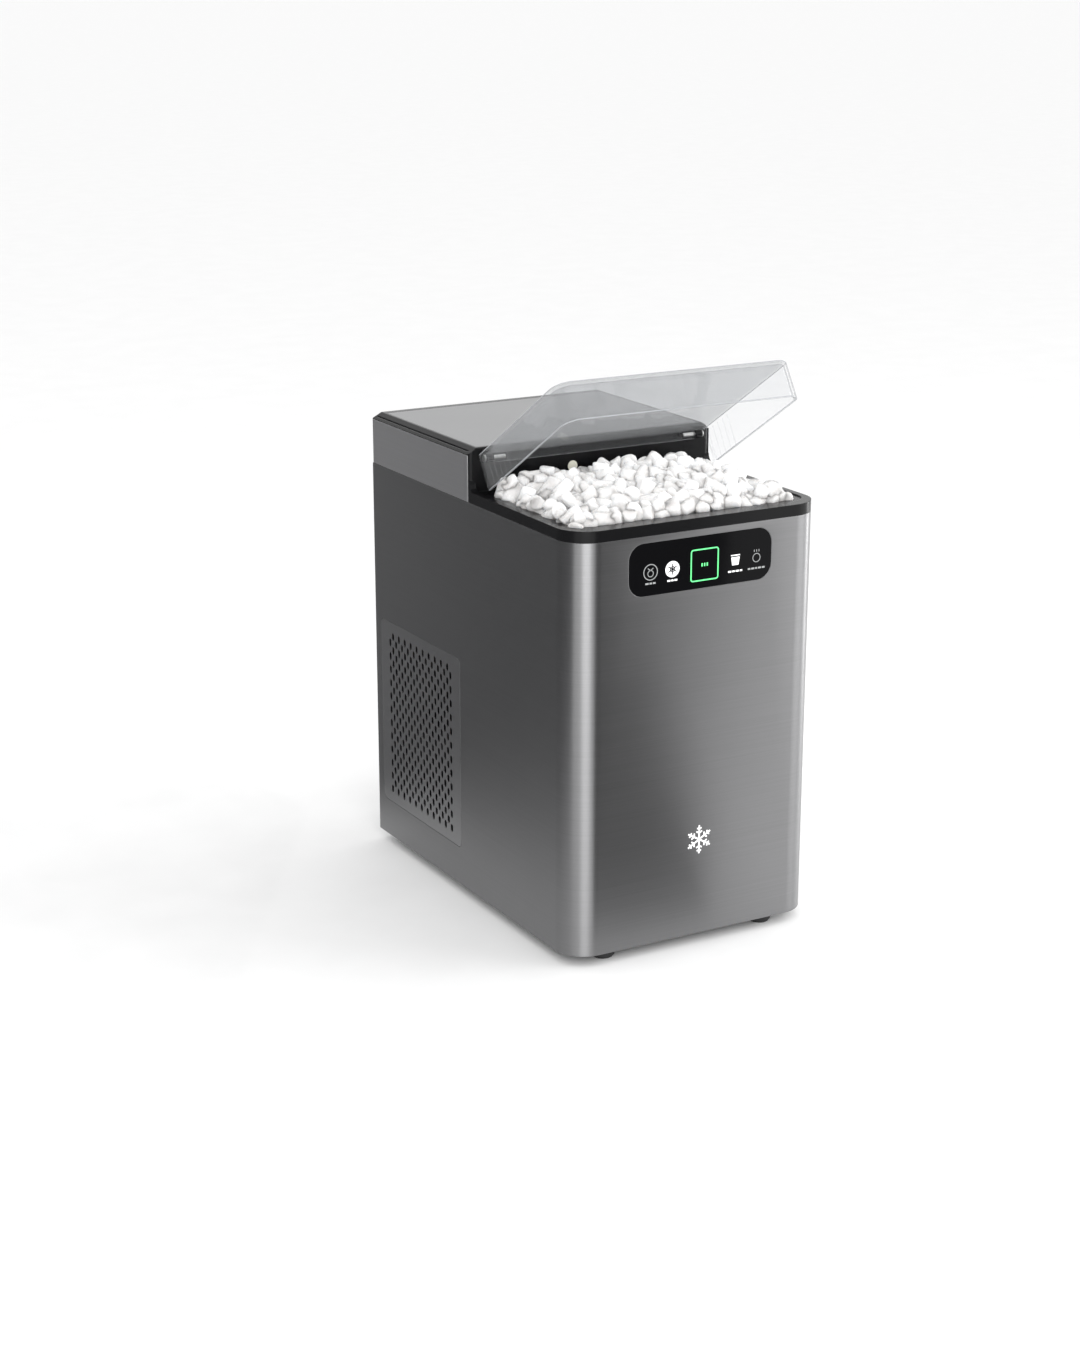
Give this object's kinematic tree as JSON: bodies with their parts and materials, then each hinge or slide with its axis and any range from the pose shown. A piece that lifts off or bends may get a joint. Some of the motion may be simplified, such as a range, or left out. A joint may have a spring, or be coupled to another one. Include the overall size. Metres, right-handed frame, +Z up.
{
  "type": "nugget ice maker",
  "caption": "Countertop nugget ice maker: dark brushed steel cabinet, clear hinged lid over the ice bin, lift-out basket, touch panel, and auger unit inside.",
  "frame": {"origin": "on the ground, under the middle of the cabinet", "axes": "+Z up, the control panel faces -Y, +X to the right seen from the front"},
  "size_m": [0.25, 0.375, 0.5044],
  "materials": {
    "back_plate": "powder coat",
    "foot_rubber": "matt",
    "dark_steel": "brushed, dark",
    "zinc_steel": "zinc plated",
    "frame_plastic": "semi-gloss",
    "satin_steel": "fine brushed",
    "clear_lid": "clear, polished",
    "basket_plastic": "satin white",
    "liner_plastic": "satin light grey",
    "foam": "foam",
    "pump_plastic": "moulded",
    "hose_plastic": "milky silicone",
    "float_plastic": "moulded",
    "plug_rubber": "silicone",
    "inlet_plastic": "moulded",
    "panel_glass": "polished black",
    "circuit_board": "solder mask",
    "wire_jacket": "sleeving",
    "lamp_lens": "milky",
    "black_enamel": "gloss enamel",
    "copper": "drawn copper",
    "fin_aluminium": "mill",
    "fan_plastic": "moulded",
    "motor_steel": "satin",
    "brass_gear": "machined",
    "gear_plastic": "acetal",
    "cast_case": "die cast",
    "stainless": "machined"
  },
  "bodies": {
    "cabinet": {"base_pan": "back_plate", "feet": "foot_rubber", "steel_wrap": "dark_steel", "vent_grille_left": "dark_steel", "vent_grille_right": "dark_steel", "rear_panel": "back_plate", "rear_screws": "zinc_steel", "top_frame": "frame_plastic", "top_panel": "satin_steel", "hinge_bracket_left": "frame_plastic", "hinge_bracket_right": "frame_plastic", "hinge_pin_left": "zinc_steel", "hinge_pin_right": "zinc_steel", "bin_liner": "liner_plastic", "bin_insulation": "foam", "water_tank": "liner_plastic", "mid_shelf": "zinc_steel", "water_pump": "pump_plastic", "water_hose": "hose_plastic", "float_stem": "pump_plastic", "drain_port": "pump_plastic", "drain_hose": "hose_plastic", "power_inlet": "inlet_plastic", "control_housing": "frame_plastic", "control_glass": "panel_glass", "control_pcb": "circuit_board", "power_board": "circuit_board", "wire_harness": "wire_jacket", "ice_full_sensor": "frame_plastic", "bin_lamp": "lamp_lens", "compressor": "black_enamel", "compressor_base": "zinc_steel", "compressor_grommets": "foot_rubber", "discharge_pipe": "copper", "suction_pipe": "copper", "filter_drier": "copper", "liquid_line": "copper", "capillary_tube": "copper", "condenser_fins": "fin_aluminium", "condenser_tubes": "copper", "fan_shroud": "fan_plastic", "fan_motor": "fan_plastic", "gear_motor": "motor_steel", "gearbox_housing": "cast_case", "gearbox_cover": "cast_case", "auger_bearings": "stainless", "evaporator_barrel": "stainless", "evaporator_coil": "copper", "evaporator_jacket": "foam", "extruder_head": "stainless", "ice_chute": "liner_plastic"},
    "lid": {"lid_shell": "clear_lid"},
    "basket": {"ice_basket": "basket_plastic"},
    "float_ball": {"float": "float_plastic"},
    "plug": {"drain_plug": "plug_rubber"},
    "fan": {"fan_blades": "fan_plastic"},
    "pinion": {"motor_pinion": "brass_gear"},
    "idler": {"idler_gear": "gear_plastic"},
    "auger_shaft": {"auger": "stainless", "output_gear": "gear_plastic"}
  },
  "joints": [
    {"name": "lid_hinge", "type": "hinge", "parent": "cabinet", "child": "lid", "pos_m": [0, -0.012, 0.4155], "axis": [-1, 0, 0], "range_deg": [-32, 63]},
    {"name": "basket_lift", "type": "slide", "parent": "cabinet", "child": "basket", "axis": [0, 0, 1], "range_m": [0, 0.035]},
    {"name": "float_rise", "type": "slide", "parent": "cabinet", "child": "float_ball", "axis": [0, 0, 1], "range_m": [0, 0.027]},
    {"name": "drain_plug_pull", "type": "slide", "parent": "cabinet", "child": "plug", "axis": [0, 1, 0], "range_m": [0, 0.02]},
    {"name": "fan_spin", "type": "hinge", "parent": "cabinet", "child": "fan", "pos_m": [-0.075, 0.098, 0.12], "axis": [1, 0, 0], "continuous": true},
    {"name": "auger_spin", "type": "hinge", "parent": "cabinet", "child": "auger_shaft", "pos_m": [0.045, 0.085, 0.25], "axis": [0, 0, 1], "continuous": true},
    {"name": "idler_spin", "type": "hinge", "parent": "cabinet", "child": "idler", "pos_m": [0.045, 0.13, 0.13], "axis": [0, 0, 1], "continuous": true},
    {"name": "motor_spin", "type": "hinge", "parent": "cabinet", "child": "pinion", "pos_m": [0.045, 0.085, 0.12], "axis": [0, 0, 1], "continuous": true}
  ],
  "couplings": [
    {"joint": "auger_spin", "follows": "idler_spin", "ratio": -0.25},
    {"joint": "motor_spin", "follows": "idler_spin", "ratio": -4}
  ]
}
